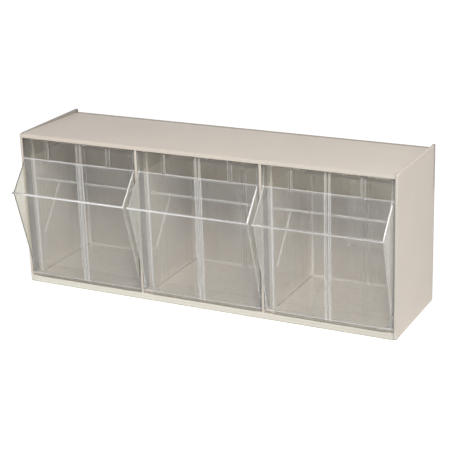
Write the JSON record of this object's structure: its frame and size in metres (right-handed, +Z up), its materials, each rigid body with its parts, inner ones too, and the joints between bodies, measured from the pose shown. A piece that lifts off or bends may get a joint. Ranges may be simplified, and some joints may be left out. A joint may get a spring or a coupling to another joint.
{
  "type": "tilt-out bin cabinet",
  "caption": "Counter or wall cabinet with clear hopper-fronted bins side by side, each tipping forward on pegs at its lower front edge.",
  "frame": {"origin": "middle of the footprint on the surface the cabinet stands on, hopper lips included", "axes": "+X along the cabinet to its right end seen from the front, +Y from the bin fronts to the back panel, +Z up"},
  "size_m": [0.6, 0.197, 0.238],
  "materials": {
    "housing_plastic": "satin stone-coloured polystyrene",
    "clear_plastic": "clear glossy polystyrene"
  },
  "bodies": {
    "housing": {"top_panel": "housing_plastic", "bottom_panel": "housing_plastic", "back_panel": "housing_plastic", "left_end_panel": "housing_plastic", "right_end_panel": "housing_plastic", "left_partition": "housing_plastic", "right_partition": "housing_plastic"},
    "left_bin": {"left_bin_front": "clear_plastic", "left_bin_tub": "clear_plastic"},
    "middle_bin": {"middle_bin_front": "clear_plastic", "middle_bin_tub": "clear_plastic"},
    "right_bin": {"right_bin_front": "clear_plastic", "right_bin_tub": "clear_plastic"}
  },
  "joints": [
    {"name": "left_bin_tilt", "type": "hinge", "parent": "housing", "child": "left_bin", "pos_m": [-0.1986, -0.0545, 0.0167], "axis": [1, 0, 0], "range_deg": [0, 43.5]},
    {"name": "middle_bin_tilt", "type": "hinge", "parent": "housing", "child": "middle_bin", "pos_m": [0, -0.0545, 0.0167], "axis": [1, 0, 0], "range_deg": [0, 43.5]},
    {"name": "right_bin_tilt", "type": "hinge", "parent": "housing", "child": "right_bin", "pos_m": [0.1986, -0.0545, 0.0167], "axis": [1, 0, 0], "range_deg": [0, 43.5]}
  ]
}
